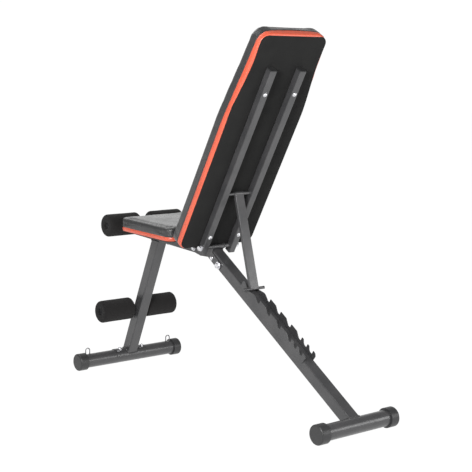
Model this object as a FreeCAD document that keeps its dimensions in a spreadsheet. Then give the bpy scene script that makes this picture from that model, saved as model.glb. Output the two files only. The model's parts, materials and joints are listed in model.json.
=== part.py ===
import FreeCAD, Part

# Adjustable decline sit-up bench: two round-tube feet, a leaning front leg, a seat beam with
# roller bars, a notched rear leg, and a reclining backrest propped by a strut whose cross bar
# drops into the notches.
#
# Millimetres. X is across the bench with +X the user's left, +Y points to the rear foot, +Z is up.
# The origin is on the floor, halfway between the two feet. Each sub-part is drawn about its own
# local origin, mostly with its long side along local Z, and is then turned about X into place.

import math
import os

import Sketcher
from FreeCAD import Placement, Rotation, Vector

os.makedirs("parts", exist_ok=True)
doc = FreeCAD.newDocument("sit_up_bench")
X_AXIS, Y_AXIS, Z_AXIS = Vector(1, 0, 0), Vector(0, 1, 0), Vector(0, 0, 1)
LEFT, RIGHT = 1, -1
nodes = {}

# ---------------------------------------------------------------- driving dimensions

DIMENSIONS = {
    # steel tube sections
    "tube_side": 40, "tube_wall": 2, "tube_corner": 4,
    "rail_side": 25, "rail_wall": 1.5, "rail_corner": 3,
    # feet
    "foot_tube_diameter": 50, "foot_tube_wall": 2, "foot_spacing": 1207,
    "front_foot_length": 448, "rear_foot_length": 319,
    "cap_diameter": 62, "cap_length": 33, "cap_end": 5, "cap_round": 5,
    # saddle that bolts the front leg to its foot, square to the leg, and the eyes for exercise bands
    "saddle_length": 130, "saddle_thickness": 2.5, "saddle_wrap": 130, "saddle_bolt_offset": 48,
    "eye_offset": 179, "eye_radius": 8.5, "eye_wire": 2, "eye_rise": 13.5,
    # front leg and roller bars
    "front_leg_lean": 24.5, "lower_rod_along_leg": 193.5,
    "rod_diameter": 22, "rod_wall": 1.5, "rod_length": 302, "rod_recess": 4, "upper_rod_from_end": 23,
    "roller_diameter": 80, "roller_length": 131, "roller_outer_end": 159, "roller_round": 9,
    "running_clearance": 0.06,
    # seat beam and seat
    "beam_fall": 4.1, "beam_length": 426, "beam_rear_y": -98.5, "beam_rear_z": 481.4,
    "seat_front_y": -432.5, "seat_front_z": 525.5, "seat_fall": 2.3,
    "seat_length": 300, "seat_width": 296, "seat_thickness": 48, "seat_corner": 30,
    "board_thickness": 10, "board_inset": 4, "cushion_round": 8,
    "seat_bolt_front": 95, "seat_bolt_rear": 262, "riser_length": 60,
    # hinge and its plates
    "hinge_y": -58.5, "hinge_z": 497.5, "hinge_bolt_diameter": 10, "sleeve_diameter": 13,
    "sleeve_length": 93.6, "plate_thickness": 3, "plate_end_radius": 13,
    "beam_bolt_y": -161.5, "beam_bolt_z": 482,
    # backrest frame
    "backrest_angle": 59.4, "rail_offset": 60, "rail_above_hinge": 676, "rail_below_hinge": 20,
    "mid_rod_height": 215, "mid_rod_diameter": 10,
    "lower_rail_bolt": 51, "upper_rail_bolt": 596,
    # backrest pad
    "pad_below_hinge": 8, "pad_above_hinge": 790, "pad_thickness": 54, "pad_corner": 32,
    "pad_width_low": 307, "pad_width_high": 270, "pad_taper_start": 500, "pad_taper_end": 706,
    # rear leg
    "rear_leg_fall": 33.15, "rear_leg_reach": 812, "leg_bolt_drop": 5,
    "leg_pivot_along": 752, "leg_lock_along": 789.5,
    # notched rack on the rear leg: distances up the leg from the rear foot's axis
    "rack_thickness": 2.5, "rack_skirt": 14, "rack_crest": 21, "rack_valley": 7.5,
    "rack_first_wall": 581, "long_notch_pitch": 60.5, "short_notch_pitch": 31,
    "long_notch": 30, "short_notch": 23, "first_tooth_crest": 16.5,
    # prop strut
    "strut_width": 34, "strut_depth": 12, "strut_wall": 1.5,
    "strut_sleeve_diameter": 14, "strut_sleeve_length": 38,
    "cross_bar_diameter": 10, "cross_bar_length": 85, "notch_clearance": 0.3,
}

dims = doc.addObject("Spreadsheet::Sheet", "dims")
for row, (alias, number) in enumerate(DIMENSIONS.items(), start=1):
    dims.set("A%d" % row, alias)
    dims.set("B%d" % row, str(number))
    dims.setAlias("B%d" % row, alias)
doc.recompute()


def dim(alias):
    """One driving dimension, read from the sheet."""
    return float(dims.get(alias))


def sized(expression):
    """A sheet expression in which bare aliases stand for cells."""
    words = expression.replace("(", "( ").replace(")", " )").split()
    return " ".join("dims." + word if word in DIMENSIONS else word for word in words)


# ---------------------------------------------------------------- drawing helpers


def primitive(kind, name, base=Vector(), axis=Z_AXIS, **sizes):
    """A Part primitive whose sizes are bound to the sheet, with its own Z turned to an axis."""
    shape = doc.addObject("Part::" + kind, name)
    for size, expression in sizes.items():
        shape.setExpression(size, sized(expression))
    shape.Placement = Placement(base, Rotation(Z_AXIS, axis))
    return shape


def bar(name, radius, length, centre=Vector(), axis=X_AXIS):
    """A round bar of the given radius and length expressions, centred on a point."""
    cylinder = primitive("Cylinder", name, Radius=radius, Height=length)
    doc.recompute()
    start = centre - axis * (cylinder.Height.Value / 2)
    cylinder.Placement = Placement(start, Rotation(Z_AXIS, axis))
    return cylinder


def cut(name, base, *tools):
    """The base less every tool."""
    tool = tools[0]
    if len(tools) > 1:
        tool = doc.addObject("Part::MultiFuse", name + "_tools")
        tool.Shapes = list(tools)
    result = doc.addObject("Part::Cut", name)
    result.Base, result.Tool = base, tool
    return result


def fuse(name, *pieces):
    """Every piece joined into one solid."""
    result = doc.addObject("Part::MultiFuse", name)
    result.Shapes = list(pieces)
    return result


def group(name, pieces):
    """Separate solids kept together in one sub-part."""
    result = doc.addObject("Part::Compound", name)
    result.Links = list(pieces)
    return result


def node(label, shape, placement=None):
    """Names a finished sub-part and puts it in place."""
    shape.Label = label
    if placement is not None:
        shape.Placement = placement
    nodes[label] = shape
    return shape


def tilted(y, z, angle=0.0, x=0.0):
    """A place in the bench's side view, turned about X."""
    return Placement(Vector(x, y, z), Rotation(X_AXIS, angle))


def rectangle(body, name, width, depth):
    """A rectangle sketch centred on the body's XY plane."""
    sketch = body.newObject("Sketcher::SketchObject", name)
    plane = [p for p in body.Origin.OriginFeatures if p.Role == "XY_Plane"][0]
    sketch.AttachmentSupport = (plane, [""])
    sketch.MapMode = "FlatFace"
    corners = [Vector(-1, -1, 0), Vector(1, -1, 0), Vector(1, 1, 0), Vector(-1, 1, 0)]
    for i in range(4):
        sketch.addGeometry(Part.LineSegment(corners[i], corners[(i + 1) % 4]), False)
        direction = "Horizontal" if i % 2 == 0 else "Vertical"
        sketch.addConstraint(Sketcher.Constraint(direction, i))
    for i in range(4):
        sketch.addConstraint(Sketcher.Constraint("Coincident", i, 2, (i + 1) % 4, 1))
    sketch.addConstraint(Sketcher.Constraint("Symmetric", 0, 1, 1, 2, -1, 1))
    for key, kind, edge, size in (("width", "DistanceX", 0, width), ("depth", "DistanceY", 1, depth)):
        index = sketch.addConstraint(Sketcher.Constraint(kind, edge, 1, edge, 2, 2.0))
        sketch.renameConstraint(index, key)
        sketch.setExpression("Constraints." + key, sized(size))
    return sketch


def edges_along(shape, axis):
    """Names of a shape's straight edges that run along an axis."""
    names = []
    for number, edge in enumerate(shape.Edges, start=1):
        if isinstance(edge.Curve, Part.Line) and abs(edge.Curve.Direction.dot(axis)) > 0.999:
            names.append("Edge%d" % number)
    return names


def block(name, width, depth, length, corner):
    """A PartDesign body: a centred rectangle padded along Z, with its long edges rounded."""
    body = doc.addObject("PartDesign::Body", name)
    pad = body.newObject("PartDesign::Pad", name + "_pad")
    pad.Profile = rectangle(body, name + "_outline", width, depth)
    pad.setExpression("Length", sized(length))
    doc.recompute()
    fillet = body.newObject("PartDesign::Fillet", name + "_corners")
    fillet.Base = (pad, edges_along(pad.Shape, Z_AXIS))
    fillet.setExpression("Radius", sized(corner))
    doc.recompute()
    return body


def hollow(body, name, width, depth, length=None):
    """Pockets a centred rectangle out of a body, up from its base face, through or to a depth."""
    before = body.Shape.Volume
    pocket = body.newObject("PartDesign::Pocket", name + "_bore")
    pocket.Profile = rectangle(body, name + "_inside", width, depth)
    pocket.Reversed = True
    if length is None:
        pocket.Type = "ThroughAll"
    else:
        pocket.setExpression("Length", sized(length))
    doc.recompute()
    if body.Shape.Volume > before - 1.0:
        raise RuntimeError(name + ": the pocket removed nothing")
    return body


def square_tube(name, side, wall, length, corner, depth=None):
    """A hollow rectangular tube standing along Z."""
    depth = depth or side
    body = block(name, side, depth, length, corner)
    inner = "%s - 2 * %s"
    return hollow(body, name, inner % (side, wall), inner % (depth, wall))


def round_tube(name, outer_diameter, inner_diameter, length):
    """A hollow round tube centred on the origin, along X."""
    outside = bar(name + "_outside", "(%s) / 2" % outer_diameter, length)
    inside = bar(name + "_inside", "(%s) / 2" % inner_diameter, length + " + 2")
    return cut(name, outside, inside)


def hexagon(name, across_flats, height, base, axis):
    """A hexagonal nut or head; the sizes are plain fastener sizes in millimetres."""
    prism = doc.addObject("Part::Prism", name)
    prism.Polygon = 6
    prism.Circumradius = across_flats / math.sqrt(3)
    prism.Height = height
    prism.Placement = Placement(base, Rotation(Z_AXIS, axis))
    return prism


def disc(name, diameter, height, base, axis):
    """A short round piece, such as a washer or a shank; plain sizes in millimetres."""
    cylinder = doc.addObject("Part::Cylinder", name)
    cylinder.Radius = diameter / 2
    cylinder.Height = height
    cylinder.Placement = Placement(base, Rotation(Z_AXIS, axis))
    return cylinder


def through_bolt(name, shank, grip, head, nut, centre=Vector(), axis=X_AXIS):
    """A bolt through a grip centred on a point: head and nut are (across flats, height)."""
    half = grip / 2
    return fuse(
        name,
        disc(name + "_shank", shank, grip, centre - axis * half, axis),
        hexagon(name + "_head", head[0], head[1], centre + axis * half, axis),
        hexagon(name + "_nut", nut[0], nut[1], centre - axis * half, axis * -1),
        disc(name + "_end", shank, nut[1] + 3, centre - axis * half, axis * -1),
    )


def washer_pair(name, outer, bore, thickness, half_gap, centre=Vector()):
    """Two washers on an X axis, one against each end of a stack."""
    rings = []
    for side in (LEFT, RIGHT):
        base = centre + X_AXIS * (side * half_gap)
        ring = disc("%s_ring%+d" % (name, side), outer, thickness, base, X_AXIS * side)
        hole = disc("%s_hole%+d" % (name, side), bore, thickness, base, X_AXIS * side)
        rings.append(cut("%s_washer%+d" % (name, side), ring, hole))
    return group(name, rings)


def solid_feature(name, solid):
    """A sub-part whose outline is drawn with curves, kept as a plain feature."""
    feature = doc.addObject("Part::Feature", name)
    feature.Shape = solid
    return feature


# ---------------------------------------------------------------- where things are

FOOT_Z = dim("cap_diameter") / 2
FRONT_FOOT_Y = -dim("foot_spacing") / 2
REAR_FOOT_Y = dim("foot_spacing") / 2

# Each leaning piece is drawn standing along local Z and turned about X by one of these angles.
front_leg_turn = -dim("front_leg_lean")
beam_turn = 90 - dim("beam_fall")
backrest_turn = dim("backrest_angle") - 90
rear_leg_turn = 90 - dim("rear_leg_fall")

front_leg_place = tilted(FRONT_FOOT_Y, FOOT_Z, front_leg_turn)
beam_place = tilted(dim("beam_rear_y"), dim("beam_rear_z"), beam_turn)
backrest_place = tilted(dim("hinge_y"), dim("hinge_z"), backrest_turn)
rear_leg_place = tilted(REAR_FOOT_Y, FOOT_Z, rear_leg_turn)
seat_place = tilted(dim("seat_front_y"), dim("seat_front_z"), -dim("seat_fall"))

half_tube = dim("tube_side") / 2
half_rail = dim("rail_side") / 2
rod_standoff = half_tube + dim("rod_diameter") / 2 - dim("rod_recess")
lower_rod = Vector(0, -rod_standoff, dim("lower_rod_along_leg"))
upper_rod = Vector(0, rod_standoff, dim("beam_length") - dim("upper_rod_from_end"))
lower_rod_place = Placement(front_leg_place.multVec(lower_rod), Rotation())
upper_rod_place = Placement(beam_place.multVec(upper_rod), Rotation())

# The strut hangs from the rod between the rails, and its cross bar lies in the first notch.
cross_bar_seat = dim("cross_bar_diameter") / 2 + dim("notch_clearance")
strut_top = backrest_place.multVec(Vector(0, 0, dim("mid_rod_height")))
cross_bar_centre = rear_leg_place.multVec(
    Vector(0, half_tube + dim("rack_valley") + cross_bar_seat, dim("rack_first_wall") + cross_bar_seat)
)
strut_run = cross_bar_centre - strut_top
strut_turn = math.degrees(math.atan2(-strut_run.y, strut_run.z))
strut_place = tilted(strut_top.y, strut_top.z, strut_turn)

# ---------------------------------------------------------------- feet


def foot(name, length, y):
    """A round tube across the bench with a moulded cap on each end, returned as its placement."""
    place = tilted(y, FOOT_Z)
    bore = "foot_tube_diameter - 2 * foot_tube_wall"
    tube = round_tube(name + "_tube_body", "foot_tube_diameter", bore, length + " - 2 * cap_end")
    doc.recompute()
    for side, word in ((LEFT, "left"), (RIGHT, "right")):
        label = "%s_cap_%s" % (name, word)
        outer_end = X_AXIS * (side * tube.Base.Height.Value / 2 + side * dim("cap_end"))
        rim = outer_end - X_AXIS * (side * dim("cap_length"))
        shell = primitive("Cylinder", label + "_shell", rim, X_AXIS * side,
                          Radius="cap_diameter / 2", Height="cap_length")
        doc.recompute()
        far = [n for n, e in enumerate(shell.Shape.Edges, start=1)
               if abs(e.CenterOfMass.x - outer_end.x) < 1e-3]
        rounded = doc.addObject("Part::Fillet", label + "_rounded")
        rounded.Base = shell
        rounded.Edges = [(n, dim("cap_round"), dim("cap_round")) for n in far]
        socket = primitive("Cylinder", label + "_socket", rim, X_AXIS * side,
                           Radius="foot_tube_diameter / 2", Height="cap_length - cap_end")
        node(label, cut(label + "_body", rounded, socket), place)
    return tube, place


front_tube, front_foot_place = foot("front_foot", "front_foot_length", FRONT_FOOT_Y)
rear_tube, rear_foot_place = foot("rear_foot", "rear_foot_length", REAR_FOOT_Y)
node("rear_foot_tube", rear_tube, rear_foot_place)

SADDLE_SHANK = 8.0
saddle_bolt_points = [X_AXIS * (side * dim("saddle_bolt_offset")) for side in (LEFT, RIGHT)]


def shank_holes(name, points, diameter, reach, axis):
    """Round holes for bolts, through everything within reach of each point."""
    return [disc("%s_hole_%d" % (name, i), diameter, 2 * reach, point - axis * reach, axis)
            for i, point in enumerate(points)]


foot_holes = shank_holes("front_foot", saddle_bolt_points, SADDLE_SHANK, 40.0, Z_AXIS)
node("front_foot_tube", cut("front_foot_tube_drilled", front_tube, *foot_holes), front_leg_place)


def saddle():
    """A curved plate on top of the front foot that carries the leg."""
    shell = primitive("Cylinder", "saddle_outside", Radius="foot_tube_diameter / 2 + saddle_thickness",
                      Height="saddle_length", Angle="saddle_wrap")
    start = Vector(-dim("saddle_length") / 2, 0, 0)
    lead = 90 - dim("saddle_wrap") / 2
    shell.Placement = Placement(start, Rotation(X_AXIS, lead) * Rotation(Vector(1, 1, 1), 120))
    bore = bar("saddle_inside", "foot_tube_diameter / 2", "saddle_length + 2")
    holes = shank_holes("saddle", saddle_bolt_points, SADDLE_SHANK, 40.0, Z_AXIS)
    return cut("saddle_body", shell, bore, *holes)


node("front_foot_saddle", saddle(), front_leg_place)


def saddle_bolts():
    """Carriage bolts up through the foot, each closed by a dome nut on the saddle."""
    top = dim("foot_tube_diameter") / 2 + dim("saddle_thickness")
    bottom = -dim("foot_tube_diameter") / 2
    bolts = []
    for i, point in enumerate(saddle_bolt_points):
        name = "saddle_bolt_%d" % i
        dome = doc.addObject("Part::Sphere", name + "_dome")
        dome.Radius = 6.0
        dome.Placement.Base = point + Z_AXIS * (top + 5.0)
        bolts.append(fuse(
            name,
            disc(name + "_shank", SADDLE_SHANK, top - bottom, point + Z_AXIS * bottom, Z_AXIS),
            disc(name + "_head", 16.0, 3.5, point + Z_AXIS * (bottom - 3.5), Z_AXIS),
            hexagon(name + "_nut", 13.0, 6.0, point + Z_AXIS * top, Z_AXIS),
            dome,
        ))
    return group("saddle_bolts_group", bolts)


node("saddle_bolts", saddle_bolts(), front_leg_place)


def band_eye(word, side):
    """An upright wire loop on the front foot, for clipping an exercise band."""
    name = "band_eye_" + word
    top = dim("foot_tube_diameter") / 2
    middle = Vector(side * dim("eye_offset"), 0, top + dim("eye_rise"))
    arch = primitive("Torus", name + "_arch", middle, Y_AXIS * -1,
                     Radius1="eye_radius", Radius2="eye_wire")
    arch.Angle3 = 180
    arch.Placement = Placement(middle, Rotation(X_AXIS, 90))
    legs = [
        primitive("Cylinder", "%s_leg%+d" % (name, way),
                  middle + X_AXIS * (way * dim("eye_radius")) - Z_AXIS * 20, Z_AXIS, Radius="eye_wire")
        for way in (LEFT, RIGHT)
    ]
    for leg in legs:
        leg.Height = 20
    tube = bar(name + "_cope", "foot_tube_diameter / 2", "front_foot_length")
    return cut(name + "_body", fuse(name + "_wire", arch, *legs), tube)


node("band_eye_left", band_eye("left", LEFT), front_foot_place)
node("band_eye_right", band_eye("right", RIGHT), front_foot_place)

# ---------------------------------------------------------------- front leg, beam and roller bars


def under_beam(name):
    """Everything above the beam's underside, as a cutting block in the front leg's own frame."""
    blade = primitive("Box", name, Length="tube_side * 2", Width="foot_spacing", Height="beam_length")
    in_beam = Placement(Vector(-dim("tube_side"), -half_tube, 0), Rotation())
    blade.Placement = front_leg_place.inverse() * beam_place * in_beam
    return blade


leg_tube = square_tube("front_leg_tube", "tube_side", "tube_wall", "foot_spacing / 2", "tube_corner")
node("front_leg", cut(
    "front_leg_body", leg_tube,
    bar("front_leg_cope", "foot_tube_diameter / 2 + saddle_thickness", "saddle_length"),
    bar("front_leg_rod_seat", "rod_diameter / 2", "tube_side + 2", lower_rod),
    under_beam("front_leg_top_blade"),
), front_leg_place)

SEAT_SHANK = 8.0
BEAM_SHANK = 8.0
LEG_LOCK_SHANK = 8.0
seat_bolt_alongs = [dim("seat_bolt_front"), dim("seat_bolt_rear")]


def to_local(place, y, z):
    """A side-view point of the bench in a piece's own frame."""
    return place.inverse().multVec(Vector(0, y, z))


def seat_bolt_point(along):
    """Where a seat bolt's axis meets the seat's underside, in the bench's frame."""
    return seat_place.multVec(Vector(0, along, 0))


beam_bolt_local = to_local(beam_place, dim("beam_bolt_y"), dim("beam_bolt_z"))
beam_tools = [
    bar("beam_rod_seat", "rod_diameter / 2", "tube_side + 2", upper_rod),
    disc("beam_bolt_hole", BEAM_SHANK, 60.0, beam_bolt_local - X_AXIS * 30, X_AXIS),
]
for i, along in enumerate(seat_bolt_alongs):
    point = seat_bolt_point(along)
    start = to_local(beam_place, point.y, point.z - 80)
    end = to_local(beam_place, point.y, point.z + 5)
    beam_tools.append(disc("beam_seat_hole_%d" % i, SEAT_SHANK, 85.0, start, end - start))
beam_tube = square_tube("seat_beam_tube", "tube_side", "tube_wall", "beam_length", "tube_corner")
node("seat_beam", cut("seat_beam_body", beam_tube, *beam_tools), beam_place)


def end_plug(name, side, wall, corner, tongue, place):
    """A moulded plug: a flange as wide as its tube and a tongue inside it; local Z points out."""
    flange = block(name + "_flange", side, side, "3", corner)
    inner = "%s - 2 * %s - 0.4" % (side, wall)
    stem = primitive("Box", name + "_stem", Length=inner, Width=inner, Height=tongue)
    doc.recompute()
    half = stem.Length.Value / 2
    stem.Placement.Base = Vector(-half, -half, -stem.Height.Value)
    plug = fuse(name, flange, stem)
    plug.Placement = place
    return plug


beam_front = beam_place * Placement(Vector(0, 0, dim("beam_length")), Rotation())
node("beam_front_plug", end_plug("beam_plug", "tube_side", "tube_wall", "tube_corner", "8", beam_front))


def roller_rod(name):
    """The steel tube that carries a pair of foam rollers."""
    bore = "rod_diameter - 2 * rod_wall"
    return round_tube(name, "rod_diameter", bore, "rod_length")


def foam_roller(name, side):
    """A foam roller with rounded ends, turning freely on its rod."""
    length = dim("roller_length")
    centre = X_AXIS * (side * (dim("roller_outer_end") - length / 2))
    foam = bar(name + "_foam", "roller_diameter / 2", "roller_length", centre)
    doc.recompute()
    rims = [n for n, e in enumerate(foam.Shape.Edges, start=1) if isinstance(e.Curve, Part.Circle)]
    rounded = doc.addObject("Part::Fillet", name + "_rounded")
    rounded.Base = foam
    rounded.Edges = [(n, dim("roller_round"), dim("roller_round")) for n in rims]
    bore = bar(name + "_bore", "rod_diameter / 2 + running_clearance", "roller_length + 4", centre)
    return cut(name + "_body", rounded, bore)


for level, place in (("lower", lower_rod_place), ("upper", upper_rod_place)):
    node(level + "_roller_rod", roller_rod(level + "_rod_tube"), place)
    for word, side in (("left", LEFT), ("right", RIGHT)):
        label = "%s_roller_%s" % (level, word)
        node(label, foam_roller(label, side), place)

# ---------------------------------------------------------------- seat


def from_seat(width_less, height, corner, name):
    """A rounded slab lying on the seat plane, its length along local Y."""
    slab = block(name, "seat_width" + width_less, "seat_length" + width_less, height, corner)
    slab.Placement = Placement(Vector(0, dim("seat_length") / 2, 0), Rotation())
    return slab


# The bolts stand upright while the board falls with the seat, so its holes are drilled upright too.
upright = seat_place.Rotation.inverted().multVec(Z_AXIS)
seat_holes = []
for i, along in enumerate(seat_bolt_alongs):
    start = Vector(0, along, 0) - upright
    seat_holes.append(disc("seat_board_hole_%d" % i, SEAT_SHANK, 7.0, start, upright))
board = from_seat(" - 2 * board_inset", "board_thickness", "seat_corner - board_inset", "seat_board_slab")
node("seat_board", cut("seat_board_body", board, *seat_holes), seat_place)


def seat_cushion():
    """The padded seat: a slab with softened top edges, its board let into the underside."""
    slab = from_seat("", "seat_thickness", "seat_corner", "seat_cushion_slab")
    doc.recompute()
    top = [n for n, e in enumerate(slab.Shape.Edges, start=1)
           if e.BoundBox.ZMin > dim("seat_thickness") - 1e-3]
    rounded = doc.addObject("Part::Fillet", "seat_cushion_rounded")
    rounded.Base = slab
    rounded.Edges = [(n, dim("cushion_round"), dim("cushion_round")) for n in top]
    recess = from_seat(" - 2 * board_inset", "board_thickness", "seat_corner - board_inset",
                       "seat_cushion_recess")
    return cut("seat_cushion_body", rounded, recess)


node("seat_cushion", seat_cushion(), seat_place)


def side_profile(points, x):
    """A closed outline in the side view (local Y and Z) at one X, from straight runs."""
    corners = [Vector(x, y, z) for y, z in points]
    return Part.Face(Part.makePolygon(corners + corners[:1]))


def seat_riser():
    """The wedge that fills the gap between the beam and the flatter seat at the rear."""
    middle = dim("seat_bolt_rear")
    ends = [seat_place.multVec(Vector(0, middle + step * dim("riser_length") / 2, 0)) for step in (-1, 1)]
    corners = [(end.y, end.z) for end in ends]
    for end in reversed(ends):
        local = to_local(beam_place, end.y, end.z)
        foot_point = beam_place.multVec(Vector(0, half_tube, local.z))
        corners.append((foot_point.y, foot_point.z))
    half_width = 15
    wedge = side_profile(corners, -half_width).extrude(X_AXIS * (2 * half_width))
    point = seat_bolt_point(middle)
    hole = Part.makeCylinder(SEAT_SHANK / 2, 80, Vector(0, point.y, point.z - 60), Z_AXIS)
    return wedge.cut(hole)


node("seat_riser", solid_feature("seat_riser_body", seat_riser()), Placement())


def seat_bolts():
    """Two bolts up through the beam into the seat board."""
    bolts = []
    for i, along in enumerate(seat_bolt_alongs):
        point = seat_bolt_point(along)
        local = to_local(beam_place, point.y, point.z)
        under = beam_place.multVec(Vector(0, -half_tube, local.z))
        name = "seat_bolt_%d" % i
        low = Vector(0, point.y, under.z - 0.7)
        bolts.append(fuse(
            name,
            disc(name + "_shank", SEAT_SHANK, point.z + 6 - low.z, low, Z_AXIS),
            hexagon(name + "_head", 13.0, 5.5, low - Z_AXIS * 5.5, Z_AXIS),
        ))
    return group("seat_bolts_group", bolts)


node("seat_bolts", seat_bolts(), Placement())

# ---------------------------------------------------------------- rear leg and rack

leg_bolt_points = [Vector(0, -dim("leg_bolt_drop"), dim(key)) for key in ("leg_pivot_along", "leg_lock_along")]
PIVOT_SHANK = dim("hinge_bolt_diameter")

rear_tube_leg = square_tube("rear_leg_tube", "tube_side", "tube_wall", "rear_leg_reach", "tube_corner")
node("rear_leg", cut(
    "rear_leg_body", rear_tube_leg,
    bar("rear_leg_cope", "foot_tube_diameter / 2", "rear_foot_length"),
    disc("rear_leg_pivot_hole", PIVOT_SHANK, 60.0, leg_bolt_points[0] - X_AXIS * 30, X_AXIS),
    disc("rear_leg_lock_hole", LEG_LOCK_SHANK, 60.0, leg_bolt_points[1] - X_AXIS * 30, X_AXIS),
), rear_leg_place)


def notch_walls():
    """Distance up the leg of each notch's steep wall, from the top notch down."""
    steps = [dim("long_notch_pitch")] * 4 + [dim("short_notch_pitch")] * 2
    walls = [dim("rack_first_wall")]
    for step in steps:
        walls.append(walls[-1] - step)
    return walls


def rack_outline():
    """The toothed edge in the leg's frame: flat crests, a ramp into each notch, and a steep wall.

    The first tooth's wall is laid back into a slope, so that the cross bar clears it.
    """
    face = half_tube
    crest, valley = face + dim("rack_crest"), face + dim("rack_valley")
    low_crest = face + dim("first_tooth_crest")
    ramp_foot, floor_length, wall_step = 3.5, 13.0, 2.0
    first = dim("rack_first_wall")
    top = first + dim("long_notch") + 12
    points = [(face - dim("rack_skirt"), top), (crest - 5, top), (crest, top - 5)]
    for i, wall in enumerate(notch_walls()):
        width = dim("long_notch") if i < 5 else dim("short_notch")
        start = low_crest if i == 1 else crest
        points += [(start, wall + width), (valley + ramp_foot, wall + floor_length + 3.0),
                   (valley, wall + floor_length - 3.0)]
        if i == 0:
            slope_run = 23.0
            points += [(valley, wall + 2.0), (valley + 1.2, wall), (low_crest, wall - slope_run)]
        else:
            points += [(valley, wall + wall_step), (valley + wall_step, wall), (crest, wall)]
    end = notch_walls()[-1] - 17
    points += [(crest - 1.5, end + 6), (crest - 9, end), (face - dim("rack_skirt") + 6, end + 2),
               (face - dim("rack_skirt"), end + 8)]
    return points


def rack_plate(side):
    """One toothed plate, welded to a side of the rear leg."""
    return side_profile(rack_outline(), side * half_tube).extrude(X_AXIS * (side * dim("rack_thickness")))


for word, side in (("left", LEFT), ("right", RIGHT)):
    node("rack_plate_" + word, solid_feature("rack_%s_body" % word, rack_plate(side)), rear_leg_place)

# ---------------------------------------------------------------- hinge plates and their bolts

HINGE = Vector(0, dim("hinge_y"), dim("hinge_z"))


def arc_about(centre, radius, degrees_from, degrees_to):
    """A side-view arc about a centre, by angle from +Y towards +Z."""
    def at(degrees):
        angle = math.radians(degrees)
        return centre + Vector(0, radius * math.cos(angle), radius * math.sin(angle))
    return Part.Arc(at(degrees_from), at((degrees_from + degrees_to) / 2), at(degrees_to)).toShape()


def outline_face(pieces):
    """Closes a run of corner points and arcs into a face."""
    edges, last = [], None
    first = None
    for piece in pieces:
        begin = piece if isinstance(piece, Vector) else piece.Vertexes[0].Point
        first = first or begin
        if last is not None and (begin - last).Length > 1e-6:
            edges.append(Part.makeLine(last, begin))
        if isinstance(piece, Vector):
            last = piece
        else:
            edges.append(piece)
            last = piece.Vertexes[-1].Point
    edges.append(Part.makeLine(last, first))
    return Part.Face(Part.Wire(edges))


def hinge_plate(side):
    """A cheek plate that joins the beam, the hinge sleeve and the rear leg on one side."""
    radius = dim("plate_end_radius")
    inner = X_AXIS * (side * half_tube)
    pivot = rear_leg_place.multVec(leg_bolt_points[0]) + inner
    lower_edge = -90 - dim("rear_leg_fall")
    beam_bolt = Vector(0, dim("beam_bolt_y"), dim("beam_bolt_z")) + inner
    hinge = HINGE + inner
    face = outline_face([
        arc_about(beam_bolt, radius, 90 - dim("beam_fall"), 270 - dim("beam_fall")),
        beam_bolt + Vector(0, 35, -21.5),
        beam_bolt + Vector(0, 78, -21.5),
        arc_about(pivot, radius, lower_edge, 90 - dim("rear_leg_fall")),
        hinge + Vector(0, -2, -20),
        hinge + Vector(0, 1, -6),
        hinge + Vector(0, -8, -4),
        hinge + Vector(0, -28, -5),
    ])
    plate = face.extrude(X_AXIS * (side * dim("plate_thickness")))
    holes = [
        (beam_bolt, BEAM_SHANK / 2),
        (pivot, PIVOT_SHANK / 2),
        (rear_leg_place.multVec(leg_bolt_points[1]) + inner, LEG_LOCK_SHANK / 2),
        (hinge, dim("sleeve_diameter") / 2),
    ]
    for centre, hole_radius in holes:
        plate = plate.cut(Part.makeCylinder(hole_radius, 20, centre - X_AXIS * 10, X_AXIS))
    return plate


for word, side in (("left", LEFT), ("right", RIGHT)):
    node("hinge_plate_" + word, solid_feature("hinge_%s_body" % word, hinge_plate(side)), Placement())

sleeve_bore = "hinge_bolt_diameter + 2 * running_clearance"
node("hinge_sleeve", round_tube("hinge_sleeve_tube", "sleeve_diameter", sleeve_bore, "sleeve_length"),
     tilted(HINGE.y, HINGE.z))

plate_stack = half_tube + dim("plate_thickness")
LARGE_HEX, LARGE_NUT = (17.0, 6.5), (17.0, 9.0)
SMALL_HEX, SMALL_NUT = (13.0, 5.5), (13.0, 7.5)
WASHER = 2.0
PIVOT_WASHER, SMALL_WASHER, HINGE_WASHER = 26.0, 18.0, 21.0

node("leg_pivot_bolt", through_bolt(
    "leg_pivot_bolt_body", PIVOT_SHANK, 2 * (plate_stack + WASHER), LARGE_HEX, LARGE_NUT, leg_bolt_points[0],
), rear_leg_place)
node("leg_pivot_washers", washer_pair(
    "leg_pivot_washer_body", PIVOT_WASHER, PIVOT_SHANK, WASHER, plate_stack, leg_bolt_points[0],
), rear_leg_place)
node("leg_lock_bolt", through_bolt(
    "leg_lock_bolt_body", LEG_LOCK_SHANK, 2 * plate_stack, SMALL_HEX, SMALL_NUT, leg_bolt_points[1],
), rear_leg_place)
node("beam_bolt", through_bolt(
    "beam_bolt_body", BEAM_SHANK, 2 * (plate_stack + WASHER), SMALL_HEX, SMALL_NUT,
), tilted(dim("beam_bolt_y"), dim("beam_bolt_z")))
node("beam_bolt_washers", washer_pair(
    "beam_bolt_washer_body", SMALL_WASHER, BEAM_SHANK, WASHER, plate_stack,
), tilted(dim("beam_bolt_y"), dim("beam_bolt_z")))

# ---------------------------------------------------------------- backrest frame

RAIL_SHANK = 8.0
rail_bolt_alongs = [dim("lower_rail_bolt"), dim("upper_rail_bolt")]


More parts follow.
